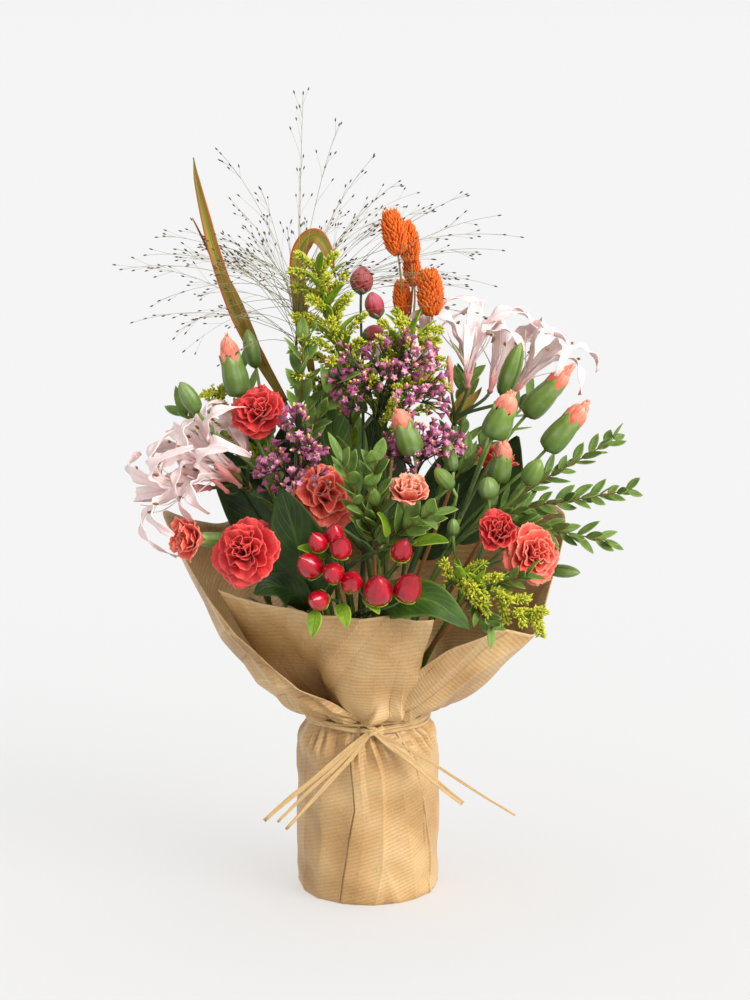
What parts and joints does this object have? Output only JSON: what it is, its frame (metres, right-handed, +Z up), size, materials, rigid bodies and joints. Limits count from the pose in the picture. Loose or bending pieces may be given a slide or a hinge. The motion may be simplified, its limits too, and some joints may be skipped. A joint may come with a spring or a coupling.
{
  "type": "mixed flower bouquet",
  "caption": "Hand-tied mixed bouquet of blooms, berries, grasses and foliage, wrapped in kraft paper and standing on its water pack.",
  "frame": {"origin": "on the floor, at the middle of the wrap's flat underside, below the tie", "axes": "+Z up, +X to the viewer's right, +Y away from the viewer of the front"},
  "size_m": [0.2926, 0.191, 0.4777],
  "materials": {
    "kraft_paper": "matt ribbed brown kraft paper, creased",
    "water_pack": "clear film filled with water",
    "raffia": "dry pale raffia, satin",
    "coral_petals": "soft coral-red ruffled petals",
    "salmon_petals": "soft salmon petals with paler edges",
    "carnation_green": "grey-green waxy calyx, stem and leaves",
    "nerine_petals": "pale pink, slightly crystalline petals",
    "stem_green": "smooth green stem",
    "orange_heads": "dry orange bristly heads",
    "dry_grass": "dry straw with dark seeds",
    "strap_leaf": "olive leaf with rust edges, satin",
    "goldenrod": "soft yellow-green florets",
    "limonium": "papery pink-purple florets on dark stems",
    "hypericum": "glossy crimson berries on lime sepals",
    "crimson_buds": "crimson buds with grey-green leaves",
    "broad_leaf": "dark green leaf, satin, paler veins",
    "eucalyptus": "grey-green leaves on orange-brown twigs"
  },
  "bodies": {
    "root": {"broad_leaf_back": "broad_leaf", "broad_leaf_back_far_left": "broad_leaf", "broad_leaf_back_far_right": "broad_leaf", "broad_leaf_back_high": "broad_leaf", "broad_leaf_back_left": "broad_leaf", "broad_leaf_back_right": "broad_leaf", "broad_leaf_front_left": "broad_leaf", "broad_leaf_front_low": "broad_leaf", "broad_leaf_left_low": "broad_leaf", "carnation_bloom_1": "coral_petals", "carnation_bloom_2": "coral_petals", "carnation_bloom_3": "coral_petals", "carnation_bloom_4": "coral_petals", "carnation_bloom_5": "coral_petals", "carnation_bloom_6": "coral_petals", "carnation_bloom_7": "coral_petals", "carnation_bloom_8": "coral_petals", "carnation_bud_tip_1": "salmon_petals", "carnation_bud_tip_2": "salmon_petals", "carnation_bud_tip_3": "salmon_petals", "carnation_bud_tip_4": "salmon_petals", "carnation_bud_tip_5": "salmon_petals", "carnation_bud_tip_6": "salmon_petals", "carnation_centre": "carnation_green", "carnation_left": "carnation_green", "carnation_right_high": "carnation_green", "carnation_right_low": "carnation_green", "carnation_upper_left": "carnation_green", "crimson_buds": "crimson_buds", "eucalyptus_back_left": "eucalyptus", "eucalyptus_back_right": "eucalyptus", "eucalyptus_front": "eucalyptus", "eucalyptus_low_right": "eucalyptus", "eucalyptus_right": "eucalyptus", "eucalyptus_upper_left": "eucalyptus", "goldenrod_centre": "goldenrod", "goldenrod_left": "goldenrod", "goldenrod_low_right": "goldenrod", "goldenrod_top": "goldenrod", "hypericum_berries": "hypericum", "kraft_paper_wrap": "kraft_paper", "limonium_centre": "limonium", "limonium_left": "limonium", "limonium_low": "limonium", "nerine_left_flowers": "nerine_petals", "nerine_left_stem": "stem_green", "nerine_right_flowers": "nerine_petals", "nerine_right_stem": "stem_green", "panicum_grass": "dry_grass", "phalaris_heads": "orange_heads", "raffia_tie": "raffia", "strap_leaf_folded": "strap_leaf", "strap_leaf_tall": "strap_leaf", "water_pack": "water_pack"}
  },
  "joints": []
}
